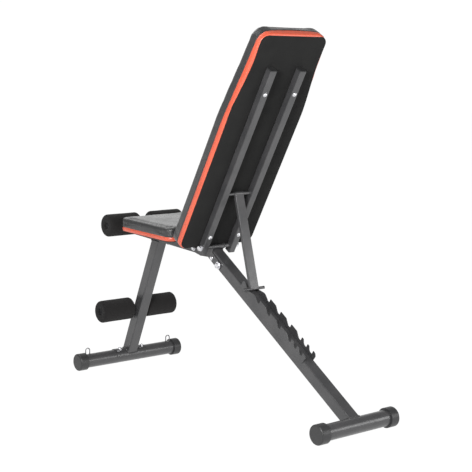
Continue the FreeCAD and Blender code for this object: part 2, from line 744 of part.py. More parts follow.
def rail(word, side):
    """A square rail from just below the hinge to near the top of the pad."""
    name = "rail_" + word
    tube = square_tube(name + "_tube", "rail_side", "rail_wall", "rail_above_hinge + rail_below_hinge",
                       "rail_corner")
    lift = dim("rail_below_hinge")
    tools = [disc(name + "_hinge_hole", dim("hinge_bolt_diameter"), 40.0, Vector(-20, 0, lift), X_AXIS)]
    for i, along in enumerate(rail_bolt_alongs):
        tools.append(disc("%s_pad_hole_%d" % (name, i), RAIL_SHANK, 40.0, Vector(0, -20, along + lift),
                          Y_AXIS))
    offset = Placement(Vector(side * dim("rail_offset"), 0, -lift), Rotation())
    return node("backrest_rail_" + word, cut(name + "_body", tube, *tools), backrest_place * offset)


rail("left", LEFT)
rail("right", RIGHT)


def rail_plugs():
    """Moulded plugs in both ends of both rails."""
    plugs = []
    for word, side in (("left", LEFT), ("right", RIGHT)):
        x = side * dim("rail_offset")
        for end, along, turn in (("top", dim("rail_above_hinge"), 0), ("low", -dim("rail_below_hinge"), 180)):
            place = Placement(Vector(x, 0, along), Rotation(X_AXIS, turn))
            plugs.append(end_plug("rail_plug_%s_%s" % (end, word), "rail_side", "rail_wall", "rail_corner",
                                  "6", place))
    return group("rail_plugs_group", plugs)


node("rail_plugs", rail_plugs(), backrest_place)


def rail_bolts():
    """Round-headed bolts through each rail into the backrest board."""
    bolts = []
    for side in (LEFT, RIGHT):
        for i, along in enumerate(rail_bolt_alongs):
            name = "rail_bolt_%d%+d" % (i, side)
            face = Vector(side * dim("rail_offset"), half_rail, along)
            dome = doc.addObject("Part::Sphere", name + "_dome")
            dome.Radius = 9.0
            dome.Placement.Base = face - Y_AXIS * 4.5
            keep = disc(name + "_keep", 15.4, 6.0, face, Y_AXIS)
            head = doc.addObject("Part::Common", name + "_head")
            head.Base, head.Tool = dome, keep
            shank = disc(name + "_shank", RAIL_SHANK, dim("rail_side") + 6, face + Y_AXIS, Y_AXIS * -1)
            bolts.append(fuse(name, head, shank))
    return group("rail_bolts_group", bolts)


node("rail_bolts", rail_bolts(), backrest_place)

inner_span = "2 * rail_offset - rail_side"
node("mid_rod", bar("mid_rod_body", "mid_rod_diameter / 2", inner_span),
     Placement(strut_top - X_AXIS * (dim("rail_offset") - half_rail), Rotation(Z_AXIS, X_AXIS)))

rail_stack = dim("rail_offset") + half_rail
hinge_place = tilted(HINGE.y, HINGE.z)
node("hinge_bolt", through_bolt(
    "hinge_bolt_body", dim("hinge_bolt_diameter"), 2 * (rail_stack + WASHER), LARGE_HEX, LARGE_NUT,
), hinge_place)
node("hinge_washers", washer_pair(
    "hinge_washer_body", HINGE_WASHER, dim("hinge_bolt_diameter"), WASHER, rail_stack,
), hinge_place)

# ---------------------------------------------------------------- backrest pad


def pad_face(inset):
    """The pad's outline on the rails' front face: drawn in towards the top, all corners rounded."""
    low_half = dim("pad_width_low") / 2 - inset
    high_half = dim("pad_width_high") / 2 - inset
    bottom, top = -dim("pad_below_hinge") + inset, dim("pad_above_hinge") - inset
    start, end = dim("pad_taper_start"), dim("pad_taper_end")
    radius = dim("pad_corner") - inset
    handle = 0.3 * (end - start)
    diagonal = radius * (1 - math.sqrt(0.5))

    def half_outline(side):
        def at(x, z):
            return Vector(side * x, -half_rail, z)
        corner_low = Part.Arc(at(low_half - radius, bottom), at(low_half - diagonal, bottom + diagonal),
                              at(low_half, bottom + radius)).toShape()
        corner_high = Part.Arc(at(high_half, top - radius), at(high_half - diagonal, top - diagonal),
                               at(high_half - radius, top)).toShape()
        taper = Part.BezierCurve()
        taper.setPoles([at(low_half, start), at(low_half, start + handle),
                        at(high_half, end - handle), at(high_half, end)])
        return [corner_low, Part.makeLine(at(low_half, bottom + radius), at(low_half, start)),
                taper.toShape(), Part.makeLine(at(high_half, end), at(high_half, top - radius)), corner_high]

    edges = half_outline(LEFT) + half_outline(RIGHT)
    for x, z in ((low_half, bottom), (high_half, top)):
        edges.append(Part.makeLine(Vector(x - radius, -half_rail, z), Vector(radius - x, -half_rail, z)))
    return Part.Face(Part.Wire(Part.__sortEdges__(edges)))


def backrest_board():
    """The flat board behind the backrest cushion, with blind holes for the rail bolts."""
    board = pad_face(dim("board_inset")).extrude(Y_AXIS * -dim("board_thickness"))
    for side in (LEFT, RIGHT):
        for along in rail_bolt_alongs:
            start = Vector(side * dim("rail_offset"), -half_rail - 6, along)
            board = board.cut(Part.makeCylinder(RAIL_SHANK / 2, 7, start, Y_AXIS))
    return board


def backrest_cushion():
    """The padded backrest: softened front edges, its board let into the back."""
    depth = dim("pad_thickness")
    cushion = pad_face(0).extrude(Y_AXIS * -depth)
    front = [e for e in cushion.Edges if e.BoundBox.YMax < -half_rail - depth + 1e-3]
    cushion = cushion.makeFillet(dim("cushion_round"), front)
    return cushion.cut(pad_face(dim("board_inset")).extrude(Y_AXIS * -dim("board_thickness")))


node("backrest_board", solid_feature("backrest_board_body", backrest_board()), backrest_place)
node("backrest_cushion", solid_feature("backrest_cushion_body", backrest_cushion()), backrest_place)

# ---------------------------------------------------------------- prop strut

strut_tube = square_tube("strut_bar", "strut_width", "strut_wall", "mid_rod_height * 2", "strut_wall * 1.2",
                         "strut_depth")
beyond = doc.addObject("Part::Box", "strut_trim")
beyond.Length, beyond.Width, beyond.Height = 60, 60, 400
beyond.Placement.Base = Vector(-30, -30, strut_run.Length)
node("strut_bar", cut(
    "strut_bar_body", strut_tube, beyond,
    bar("strut_top_cope", "strut_sleeve_diameter / 2", "tube_side"),
    bar("strut_foot_cope", "cross_bar_diameter / 2", "tube_side", Z_AXIS * strut_run.Length),
), strut_place)
strut_bore = "mid_rod_diameter + 2 * running_clearance"
node("strut_sleeve", round_tube("strut_sleeve_tube", "strut_sleeve_diameter", strut_bore,
                                "strut_sleeve_length"), strut_place)
node("strut_cross_bar", bar("cross_bar", "cross_bar_diameter / 2", "cross_bar_length"),
     Placement(cross_bar_centre - X_AXIS * (dim("cross_bar_length") / 2), Rotation(Z_AXIS, X_AXIS)))

# ---------------------------------------------------------------- check and write

doc.recompute()
for thing in doc.Objects:
    if {"Invalid", "Error"} & set(thing.State):
        raise RuntimeError("%s failed: %s" % (thing.Label, thing.State))
for label, thing in nodes.items():
    if thing.Shape.isNull() or not thing.Shape.isValid() or not thing.Shape.Solids:
        raise RuntimeError(label + ": no valid solid")
    thing.Shape.exportStep("parts/%s.step" % label)

print("sub-parts:", len(nodes))
print("hinge, strut pivot and cross bar:", HINGE, strut_top, cross_bar_centre)
print("strut length: %.2f" % strut_run.Length)
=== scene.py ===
"""Looks of the adjustable sit-up bench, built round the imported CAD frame. Metres throughout."""

import json
import math

import bmesh
import bpy
from mathutils import Matrix, Vector, noise
from mathutils.bvhtree import BVHTree


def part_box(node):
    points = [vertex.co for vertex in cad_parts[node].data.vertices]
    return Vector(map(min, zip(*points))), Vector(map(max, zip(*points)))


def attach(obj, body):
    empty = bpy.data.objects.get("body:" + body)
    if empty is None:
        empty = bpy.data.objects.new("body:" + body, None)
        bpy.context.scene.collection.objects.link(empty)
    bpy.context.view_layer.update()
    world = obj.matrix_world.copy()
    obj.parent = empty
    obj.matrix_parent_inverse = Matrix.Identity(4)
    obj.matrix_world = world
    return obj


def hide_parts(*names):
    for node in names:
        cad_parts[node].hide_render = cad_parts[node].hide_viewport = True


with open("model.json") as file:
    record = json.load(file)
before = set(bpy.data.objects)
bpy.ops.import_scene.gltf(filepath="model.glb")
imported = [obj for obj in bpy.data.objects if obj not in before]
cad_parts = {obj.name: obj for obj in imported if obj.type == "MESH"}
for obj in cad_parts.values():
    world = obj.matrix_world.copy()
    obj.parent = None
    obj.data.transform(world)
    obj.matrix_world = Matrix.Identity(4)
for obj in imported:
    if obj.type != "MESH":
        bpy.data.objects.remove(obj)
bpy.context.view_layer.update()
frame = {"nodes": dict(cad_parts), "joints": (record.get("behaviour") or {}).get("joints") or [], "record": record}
nodes = frame["nodes"]

MM = 0.001
LEFT, RIGHT = 1, -1
X, Y, Z = Vector((1, 0, 0)), Vector((0, 1, 0)), Vector((0, 0, 1))


# ---------------------------------------------------------------- places, read from the frame


def joint_at(name):
    """Where a joint's axis crosses the bench's middle plane."""
    joint = [j for j in frame["joints"] if j["name"] == name][0]
    return Vector(joint["pos_m"])


def middle(node):
    low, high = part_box(node)
    return (Vector(low) + Vector(high)) / 2


def standing(base, along):
    """A frame at base whose Z runs along a side-view direction and whose X is the bench's."""
    up = along.normalized()
    across = up.cross(X)
    turn = Matrix((X, across, up)).transposed().to_4x4()
    return Matrix.Translation(base) @ turn


HINGE = joint_at("backrest_recline")
STRUT_TOP = joint_at("strut_swing")
FRONT_FOOT = middle("front_foot_tube")
REAR_FOOT = middle("rear_foot_tube")
# Slopes in the side view, as the part is built.
BEAM_FALL = math.radians(4.1)
SEAT_FALL = math.radians(2.3)
FRONT_LEG_LEAN = math.radians(24.5)
REAR_LEG_FALL = math.radians(33.15)

backrest_frame = standing(HINGE, STRUT_TOP - HINGE)
front_leg_along = Vector((0, math.sin(FRONT_LEG_LEAN), math.cos(FRONT_LEG_LEAN)))
front_leg_frame = standing(FRONT_FOOT, front_leg_along)
rear_leg_along = Vector((0, -math.cos(REAR_LEG_FALL), math.sin(REAR_LEG_FALL)))
rear_leg_frame = standing(REAR_FOOT, rear_leg_along)
strut_frame = standing(STRUT_TOP, middle("strut_cross_bar") - STRUT_TOP)
seat_low, seat_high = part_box("seat_cushion")

HALF_TUBE = 20 * MM
beam_low, beam_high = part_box("seat_beam")
beam_up = Vector((0, math.sin(BEAM_FALL), math.cos(BEAM_FALL)))
beam_rear = Vector((0, beam_high[1] - HALF_TUBE * beam_up.y, beam_low[2] + HALF_TUBE * beam_up.z))
beam_frame = standing(beam_rear, Vector((0, -beam_up.z, beam_up.y)))


# ---------------------------------------------------------------- materials


class Material:
    """A procedural material: a Principled shader and the nodes that feed it."""

    def __init__(self, name, color, roughness, metallic=0.0, specular=0.5):
        self.data = bpy.data.materials.new(name)
        self.data.use_nodes = True
        self.nodes = self.data.node_tree.nodes
        self.links = self.data.node_tree.links
        self.shader = self.nodes["Principled BSDF"]
        self.place = self.add("ShaderNodeTexCoord").outputs["Object"]
        self.height = None
        self.set("Base Color", (*color, 1.0))
        self.set("Roughness", roughness)
        self.set("Metallic", metallic)
        self.set("Specular IOR Level", specular)

    def add(self, kind, **inputs):
        made = self.nodes.new(kind)
        for name, value in inputs.items():
            self.feed(made.inputs[name.replace("_", " ")], value)
        return made

    def feed(self, socket, value):
        if isinstance(value, bpy.types.NodeSocket):
            self.links.new(value, socket)
        else:
            socket.default_value = value

    def set(self, name, value):
        self.feed(self.shader.inputs[name], value)

    def noise(self, scale, detail=3.0, roughness=0.5, place=None):
        """Soft noise, 0 to 1; scale is in features per metre."""
        made = self.add("ShaderNodeTexNoise", Vector=place or self.place, Scale=scale,
                        Detail=detail, Roughness=roughness)
        return made.outputs["Fac"]

    def cells(self, scale, feature="F1", place=None):
        """Voronoi distance, for grain and pebbling."""
        made = self.add("ShaderNodeTexVoronoi", Vector=place or self.place, Scale=scale)
        made.feature = feature
        return made.outputs["Distance"]

    def ramp(self, fac, low, high, dark, light):
        """Maps a value between two limits to a colour or a grey."""
        made = self.add("ShaderNodeMapRange", Value=fac)
        made.inputs["From Min"].default_value = low
        made.inputs["From Max"].default_value = high
        made.inputs["To Min"].default_value = dark
        made.inputs["To Max"].default_value = light
        return made.outputs["Result"]

    def mix(self, fac, first, second):
        made = self.nodes.new("ShaderNodeMix")
        made.data_type = "RGBA"
        self.feed(made.inputs["Factor"], fac)
        for socket, color in zip(made.inputs[6:8], (first, second)):
            value = color if isinstance(color, bpy.types.NodeSocket) else (*color, 1.0)
            self.feed(socket, value)
        return made.outputs[2]

    def bump(self, height, distance, strength=1.0):
        """Adds one layer of relief, in metres, over any that is already there."""
        made = self.add("ShaderNodeBump", Height=height, Distance=distance, Strength=strength)
        if self.height is not None:
            self.links.new(self.height, made.inputs["Normal"])
        self.height = made.outputs["Normal"]
        self.set("Normal", self.height)


def powder_coat():
    """Satin dark grey powder coat: fine orange peel, faint cloudiness and dust."""
    made = Material("powder_coat", (0.046, 0.046, 0.048), roughness=0.36)
    cloud = made.noise(scale=14.0, detail=4.0)
    speck = made.noise(scale=2600.0, detail=1.0)
    cloudy = made.ramp(cloud, low=0.35, high=0.65, dark=0.0, light=1.0)
    tint = made.mix(cloudy, (0.036, 0.036, 0.038), (0.049, 0.048, 0.050))
    dusty = made.ramp(speck, low=0.60, high=0.72, dark=0.0, light=0.55)
    made.set("Base Color", made.mix(dusty, tint, (0.11, 0.11, 0.11)))
    uneven = made.noise(scale=35.0, detail=3.0)
    made.set("Roughness", made.ramp(uneven, low=0.3, high=0.7, dark=0.30, light=0.42))
    made.set("Coat Weight", 0.35)
    made.set("Coat Roughness", 0.20)
    made.bump(made.noise(scale=520.0, detail=2.0), distance=0.16 * MM)
    made.bump(speck, distance=0.04 * MM)
    return made.data


def zinc():
    """Bright zinc plate with the faint mottling and scuffs of a fastener."""
    made = Material("zinc_plate", (0.78, 0.78, 0.80), roughness=0.24, metallic=1.0)
    mottle = made.noise(scale=420.0, detail=3.0)
    scuffed = made.ramp(mottle, low=0.35, high=0.7, dark=0.0, light=1.0)
    made.set("Base Color", made.mix(scuffed, (0.86, 0.86, 0.88), (0.62, 0.62, 0.65)))
    made.set("Roughness", made.ramp(mottle, low=0.3, high=0.75, dark=0.17, light=0.36))
    made.bump(made.noise(scale=900.0, detail=2.0), distance=0.03 * MM)
    return made.data


def wire_steel():
    """Duller, darker plated wire."""
    made = Material("wire_steel", (0.30, 0.30, 0.31), roughness=0.42, metallic=1.0)
    mottle = made.noise(scale=300.0, detail=3.0)
    made.set("Base Color", made.mix(mottle, (0.22, 0.22, 0.23), (0.38, 0.38, 0.39)))
    made.bump(made.noise(scale=900.0, detail=2.0), distance=0.04 * MM)
    return made.data


def cap_plastic():
    """Moulded dark plastic with a fine spark-eroded texture."""
    made = Material("moulded_cap", (0.026, 0.026, 0.027), roughness=0.42)
    grain = made.noise(scale=1500.0, detail=2.0, roughness=0.6)
    cloud = made.noise(scale=30.0, detail=3.0)
    made.set("Base Color", made.mix(cloud, (0.021, 0.021, 0.022), (0.034, 0.034, 0.035)))
    made.set("Roughness", made.ramp(grain, low=0.3, high=0.7, dark=0.34, light=0.50))
    made.bump(grain, distance=0.09 * MM)
    return made.data


def vinyl(name, color, worn, roughness):
    """Upholstery vinyl: pebbled leather grain with fine creases between the pebbles, darkened with painted shade.
    """
    made = Material(name, color, roughness)
    warped = made.add("ShaderNodeVectorMath", Vector=made.place)
    warped.operation = "ADD"
    drift = made.add("ShaderNodeTexNoise", Vector=made.place, Scale=240.0, Detail=2.0)
    scaled = made.add("ShaderNodeVectorMath", Vector=drift.outputs["Color"])
    scaled.operation = "SCALE"
    scaled.inputs["Scale"].default_value = 1.2 * MM
    made.links.new(scaled.outputs["Vector"], warped.inputs[1])
    pebble = made.cells(760.0, "DISTANCE_TO_EDGE", warped.outputs["Vector"])
    crease = made.ramp(pebble, low=0.0, high=0.16, dark=0.0, light=1.0)
    cloud = made.noise(scale=9.0, detail=4.0)
    body = made.mix(made.ramp(cloud, low=0.3, high=0.7, dark=0.0, light=1.0), color, worn)
    # Painted shade: the creases take the vinyl's colour dimmed to 0.55.
    crease_shade_color = tuple(channel * 0.55 for channel in color)
    made.set("Base Color", made.mix(crease, crease_shade_color, body))
    uneven = made.noise(scale=22.0, detail=3.0)
    glossy, dull = roughness - 0.05, roughness + 0.07
    made.set("Roughness", made.ramp(uneven, low=0.3, high=0.7, dark=glossy, light=dull))
    made.set("Coat Weight", 0.40)
    made.set("Coat Roughness", 0.24)
    made.bump(crease, distance=0.10 * MM)
    made.bump(made.noise(scale=130.0, detail=3.0), distance=0.22 * MM)
    return made.data


def backing_cloth():
    """Matt black woven backing cloth: crossed threads, a little fuzz and lint."""
    made = Material("backing_cloth", (0.006, 0.006, 0.006), roughness=0.95, specular=0.08)
    threads = []
    for turn in (0.0, math.pi / 2):
        mapped = made.add("ShaderNodeMapping", Vector=made.place)
        mapped.inputs["Rotation"].default_value = (0.0, turn, 0.0)
        wave = made.add("ShaderNodeTexWave", Vector=mapped.outputs["Vector"], Scale=200.0,
                        Distortion=0.4)
        wave.bands_direction = "X"
        threads.append(wave.outputs["Fac"])
    weave = made.add("ShaderNodeMath", Value=threads[0])
    weave.operation = "MULTIPLY"
    made.links.new(threads[1], weave.inputs[1])
    cloudy = made.ramp(made.noise(scale=18.0, detail=5.0), low=0.3, high=0.7, dark=0.0, light=1.0)
    base = made.mix(cloudy, (0.005, 0.005, 0.005), (0.009, 0.009, 0.0085))
    made.set("Base Color", made.mix(weave.outputs["Value"], base, (0.012, 0.012, 0.012)))
    made.set("Sheen Weight", 0.06)
    made.set("Sheen Roughness", 0.6)
    made.bump(weave.outputs["Value"], distance=0.2 * MM)
    return made.data


def foam():
    """Matt closed-cell foam: small open pores, darkened with painted shade, over a soft uneven skin."""
    made = Material("roller_foam", (0.012, 0.012, 0.012), roughness=0.95, specular=0.12)
    pores = made.cells(850.0)
    # Painted shade: the colour darkens towards each pore's centre.
    skin = made.ramp(pores, low=0.1, high=0.55, dark=0.0, light=1.0)
    made.set("Base Color", made.mix(skin, (0.007, 0.007, 0.007), (0.019, 0.018, 0.018)))
    made.set("Sheen Weight", 0.05)
    made.set("Sheen Roughness", 0.5)
    made.bump(pores, distance=0.45 * MM)
    made.bump(made.noise(scale=90.0, detail=4.0), distance=0.6 * MM)
    return made.data


def thread():
    """Twisted sewing thread, with painted shade in the twist's grooves."""
    made = Material("thread", (0.02, 0.02, 0.02), roughness=0.7)
    wave = made.add("ShaderNodeTexWave", Vector=made.place, Scale=900.0, Distortion=1.0)
    twist = wave.outputs["Fac"]
    # Painted shade: the twist's grooves are darker than its strands.
    made.set("Base Color", made.mix(twist, (0.012, 0.012, 0.012), (0.05, 0.05, 0.05)))
    made.bump(twist, distance=0.1 * MM)
    return made.data


POWDER, ZINC, PLASTIC = powder_coat(), zinc(), cap_plastic()
BLACK_VINYL = vinyl("black_vinyl", color=(0.030, 0.030, 0.031), worn=(0.036, 0.036, 0.037),
                    roughness=0.30)
RED_VINYL = vinyl("red_vinyl", color=(0.70, 0.095, 0.042), worn=(0.76, 0.12, 0.055),
                  roughness=0.42)
CLOTH, FOAM, THREAD, WIRE = backing_cloth(), foam(), thread(), wire_steel()

SLOT_MATERIALS = {
    "frame_paint": POWDER,
    "zinc": ZINC,
    "cap_plastic": PLASTIC,
    "vinyl": BLACK_VINYL,
    "board": CLOTH,
    "foam": FOAM,
}
for part in frame["record"]["subparts"]:
    mesh = nodes[part["node"]].data
    mesh.materials.clear()
    is_eye = part["node"].startswith("band_eye")
    mesh.materials.append(WIRE if is_eye else SLOT_MATERIALS[part["material_slot"]])


# ---------------------------------------------------------------- mesh helpers

SHARP_ANGLE = math.radians(32)


def piece(name, mesh, body, material, sharp=False):
    """Adds a finished mesh to the bench; sharp keeps its hard edges."""
    obj = bpy.data.objects.new(name, mesh)
    bpy.context.scene.collection.objects.link(obj)
    for each in material if isinstance(material, tuple) else (material,):
        mesh.materials.append(each)
    mesh.shade_smooth()
    if sharp:
        mesh.set_sharp_from_angle(angle=SHARP_ANGLE)
    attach(obj, body)
    return obj


def mesh_from(bm, name, place=None):
    """Turns a bmesh into a mesh with outward normals, moved to its place."""
    bmesh.ops.recalc_face_normals(bm, faces=bm.faces)
    mesh = bpy.data.meshes.new(name)
    bm.to_mesh(mesh)
    bm.free()
    if place is not None:
        mesh.transform(place)
    return mesh


def join_rings(bm, rings, loop=False):
    """Skins rings of vertices, which either loop back to the first or are capped at both ends."""
    count = len(rings[0])
    for first, second in zip(rings, rings[1:] + rings[:1] if loop else rings[1:]):
        for k in range(count):
            after = (k + 1) % count
            bm.faces.new((first[k], first[after], second[after], second[k]))
    if not loop:
        bm.faces.new(rings[0])
        bm.faces.new(rings[-1])


def tube_along(bm, points, radius_at, closed=False, sides=8):
    """Sweeps a round section along points; radius_at gives the radius at each step."""
    count = len(points)
    rings = []
    for i, point in enumerate(points):
        ahead = points[(i + 1) % count] if closed or i + 1 < count else point
        behind = points[i - 1] if closed or i > 0 else point
        run = (ahead - behind).normalized()
        # Each ring carries on from the last one's side, so that the tube doesn't twist.
        side = side - run * side.dot(run) if rings else run.orthogonal()
        side.normalize()
        other = run.cross(side)
        ring = []
        for k in range(sides):
            angle = 2 * math.pi * k / sides
            offset = side * math.cos(angle) + other * math.sin(angle)
            ring.append(bm.verts.new(point + offset * radius_at(i)))
        rings.append(ring)
    join_rings(bm, rings, closed)


def resampled(points, step, closed=False):
    """The same line with evenly spaced points."""
    source = points + [points[0]] if closed else points
    lengths = [0.0]
    for a, b in zip(source, source[1:]):
        lengths.append(lengths[-1] + (b - a).length)
    count = max(2, round(lengths[-1] / step))
    result, k = [], 0
    for i in range(count if closed else count + 1):
        target = lengths[-1] * i / count
        while k < len(source) - 2 and lengths[k + 1] < target:
            k += 1
        span = lengths[k + 1] - lengths[k]
        share = (target - lengths[k]) / span if span else 0.0
        result.append(source[k].lerp(source[k + 1], share))
    return result


def turned(bm, layers, place, segments=48, flats=0.0, loop=False):
    """Rings of (along, radius) about local X, trimmed to a hexagon if flats is given."""
    rings = []
    for along, radius in layers:
        ring = []
        for k in range(segments):
            angle = 2 * math.pi * k / segments
            reach = radius
            if flats:
                off_flat = angle % (math.pi / 3) - math.pi / 6
                reach = min(radius, flats / 2 / math.cos(off_flat))
            point = Vector((along, reach * math.cos(angle), reach * math.sin(angle)))
            ring.append(bm.verts.new(place @ point))
        rings.append(ring)
    join_rings(bm, rings, loop)


def facing(point, side):
    """A frame at a point whose X runs to the bench's left, or to its right if side is -1."""
    turn = Matrix.Rotation(0.0 if side == LEFT else math.pi, 4, "Z")
    return Matrix.Translation(point) @ turn


# ---------------------------------------------------------------- cushions

VOXEL = 5 * MM
CUSHION_SWELL = 4 * MM
INWARD_SHARE = 0.15
SIM_FRAMES = 20
HELD_BELOW, HELD_FADE = 4 * MM, 18 * MM
SEAT_HALF_LENGTH, SEAT_CORNER = 150 * MM, 30 * MM
SEAT_THICKNESS, SEAT_BAND = 47 * MM, 16 * MM
SEAM_HALF_GAP, SEAM_WIDTH, SEAM_DEPTH = 1.1 * MM, 2.2 * MM, 1.2 * MM
PUCKER_REACH, PUCKER_DEPTH, PUCKERS_PER_METRE = 9 * MM, 0.5 * MM, 75
STITCH_PITCH, STITCH_ABOVE_SEAM, STITCH_RADIUS = 4.6 * MM, 3.2 * MM, 0.45 * MM
# One stitch in the side view, in millimetres along the seam and out of the cover.
STITCH_ARCH = ((-1.5, -0.5), (-1.1, 0.15), (0.0, 0.35), (1.1, 0.15), (1.5, -0.5))


def rounded_corner(centre, radius, start, steps=8):
    """Points round a quarter circle."""
    points = []
    for i in range(steps + 1):
        angle = start + math.pi / 2 * i / steps
        points.append(centre + Vector((radius * math.cos(angle), radius * math.sin(angle), 0)))
    return points


def rounded_box(half_x, half_y, radius, steps=8):
    """A rectangle about the origin with rounded corners."""
    points = []
    for i, (sx, sy) in enumerate(((1, 1), (-1, 1), (-1, -1), (1, -1))):
        centre = Vector((sx * (half_x - radius), sy * (half_y - radius), 0))
        points += rounded_corner(centre, radius, i * math.pi / 2, steps)
    return points


def seat_outline(inset):
    """The seat's rounded square, in its own frame: X across, Y towards the rear."""
    half_width = (seat_high[0] - seat_low[0]) / 2
    return rounded_box(half_width - inset, SEAT_HALF_LENGTH - inset, SEAT_CORNER - inset)


PAD_BOTTOM, PAD_TOP = -8 * MM, 793 * MM
PAD_TAPER_START, PAD_TAPER_END = 470 * MM, 745 * MM
PAD_LOW_HALF, PAD_HIGH_HALF = 153.5 * MM, 135 * MM
PAD_TOP_CORNER, PAD_LOW_CORNER = 42 * MM, 30 * MM
PAD_THICKNESS, PAD_BAND = 55 * MM, 21 * MM


def pad_half_width(along):
    """The backrest's half width: parallel, then drawn in evenly with a soft start and end."""
    taper = PAD_TAPER_END - PAD_TAPER_START
    share = min(max((along - PAD_TAPER_START) / taper, 0.0), 1.0)
    eased = share - math.sin(2 * math.pi * share) / (8 * math.pi)
    return PAD_LOW_HALF + (PAD_HIGH_HALF - PAD_LOW_HALF) * eased


def pad_outline(inset):
    """The backrest's outline: X across, Y up the backrest from the hinge."""
    high_round, low_round = PAD_TOP_CORNER - inset, PAD_LOW_CORNER - inset
    high_x, low_x = PAD_HIGH_HALF - inset - high_round, PAD_LOW_HALF - inset - low_round
    high_y, low_y = PAD_TOP - inset - high_round, PAD_BOTTOM + inset + low_round
    steps = 12
    rise = [PAD_TAPER_START + (PAD_TAPER_END - PAD_TAPER_START) * i / steps
            for i in range(steps + 1)]
    points = [Vector((pad_half_width(along) - inset, along, 0)) for along in rise]
    points += rounded_corner(Vector((high_x, high_y, 0)), high_round, 0.0)
    points += rounded_corner(Vector((-high_x, high_y, 0)), high_round, math.pi / 2)
    points += [Vector((inset - pad_half_width(along), along, 0)) for along in reversed(rise)]
    points += rounded_corner(Vector((-low_x, low_y, 0)), low_round, math.pi)
    points += rounded_corner(Vector((low_x, low_y, 0)), low_round, 3 * math.pi / 2)
    return points


def layered_shell(bm, outline, layers):
    """A closed shell from an outline function and its layers of (inset, height)."""
    rings = []
    for inset, height in layers:
        rings.append([bm.verts.new(point + Z * height) for point in outline(inset)])
    join_rings(bm, rings)


def applied(obj):
    """The object's mesh with every modifier applied."""
    graph = bpy.context.evaluated_depsgraph_get()
    mesh = bpy.data.meshes.new_from_object(obj.evaluated_get(graph))
    obj.modifiers.clear()
    old = obj.data
    obj.data = mesh
    bpy.data.meshes.remove(old)
    return obj


def inflate(obj):
    """Swells the padding under its cover by cloth simulation, holding what lies on the board."""
    before = [(v.co.copy(), v.normal.copy()) for v in obj.data.vertices]
    held = obj.vertex_groups.new(name="held")
    for v in obj.data.vertices:
        weight = min(max(1.0 - (v.co.z - HELD_BELOW) / HELD_FADE, 0.0), 1.0)
        held.add([v.index], weight, "REPLACE")
    cloth = obj.modifiers.new("cover", "CLOTH")
    settings = cloth.settings
    settings.quality = 6
    settings.mass = 0.35
    settings.tension_stiffness = 30.0
    settings.compression_stiffness = 30.0
    settings.bending_stiffness = 2.0
    settings.use_pressure = True
    settings.uniform_pressure_force = 4.0
    settings.vertex_group_mass = "held"
    settings.effector_weights.gravity = 0.0
    cloth.point_cache.frame_start = 1
    cloth.point_cache.frame_end = SIM_FRAMES
    scene = bpy.context.scene
    for number in range(1, SIM_FRAMES + 1):
        scene.frame_set(number)
    applied(obj)
    scene.frame_set(1)
    # The firm foam inside stops the cover from pulling in; it can only swell a little.
    for v, (start, normal) in zip(obj.data.vertices, before):
        move = v.co - start
        outward = move.dot(normal)
        if outward < 0:
            move -= normal * outward * (1 - INWARD_SHARE)
        if move.length > CUSHION_SWELL:
            move = move.normalized() * CUSHION_SWELL
        v.co = start + move
    return obj


def band_and_seam(obj, band):
    """Splits the cover at the seam over the red band, sinks the seam and puckers it a little."""
    bm = bmesh.new()
    bm.from_mesh(obj.data)
    for height in (band - SEAM_HALF_GAP, band, band + SEAM_HALF_GAP):
        geometry = bm.verts[:] + bm.edges[:] + bm.faces[:]
        bmesh.ops.bisect_plane(bm, geom=geometry, dist=1e-6, plane_co=Z * height, plane_no=Z)
    bm.normal_update()
    for v in bm.verts:
        side_share = 1 - abs(v.normal.z)
        above_seam = v.co.z - band
        sunk = SEAM_DEPTH * math.exp(-(above_seam / SEAM_WIDTH) ** 2)
        near = math.exp(-(above_seam / PUCKER_REACH) ** 2)
        spot = Vector((v.co.x * PUCKERS_PER_METRE, v.co.y * PUCKERS_PER_METRE, 3.0))
        pucker = PUCKER_DEPTH * noise.noise(spot) * near
        v.co += v.normal * (pucker - sunk) * side_share
    for face in bm.faces:
        face.material_index = 1 if face.calc_center_median().z < band else 0
        face.smooth = True
    bm.to_mesh(obj.data)
    bm.free()


def stitches(name, obj, outline, height, body, place):
    """A row of lockstitches lying on the cover just above its seam."""
    surface = BVHTree.FromObject(obj, bpy.context.evaluated_depsgraph_get())
    line = [point + Z * height for point in resampled(outline(0.0), STITCH_PITCH, True)]
    bm = bmesh.new()
    for i, point in enumerate(line):
        run = (line[(i + 1) % len(line)] - point).normalized()
        touch, normal, _face, _gap = surface.find_nearest(point + run * STITCH_PITCH / 2)
        arch = [touch + run * (along * MM) + normal * (rise * MM) for along, rise in STITCH_ARCH]
        tube_along(bm, arch, lambda _step: STITCH_RADIUS, sides=6)
    piece(name, mesh_from(bm, name, place), body, THREAD)


def cushion(name, outline, place, thickness, band, node, body):
    """One upholstered pad: remeshed, swollen by simulation, then given its seam and stitches."""
    bm = bmesh.new()
    underside = ((6.5 * MM, 0.3 * MM), (1.8 * MM, 0.5 * MM), (0.3 * MM, 2.4 * MM), (0.0, 6 * MM))
    wall = ((0.0, band), (0.0, thickness - 7 * MM))
    top = ((1.3 * MM, thickness - 2.4 * MM), (4.5 * MM, thickness - 0.5 * MM),
           (10 * MM, thickness))
    layered_shell(bm, outline, underside + wall + top)
    mesh = mesh_from(bm, name)
    obj = piece(name, mesh, body, (BLACK_VINYL, RED_VINYL))
    remesh = obj.modifiers.new("even", "REMESH")
    remesh.mode = "VOXEL"
    remesh.voxel_size = VOXEL
    applied(obj)
    inflate(obj)
    smooth = obj.modifiers.new("fine", "SUBSURF")
    smooth.levels = 1
    smooth.render_levels = 1
    applied(obj)
    band_and_seam(obj, band)
    stitches(name + "_stitches", obj, outline, band + STITCH_ABOVE_SEAM, body, place)
    obj.data.transform(place)
    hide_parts(node)


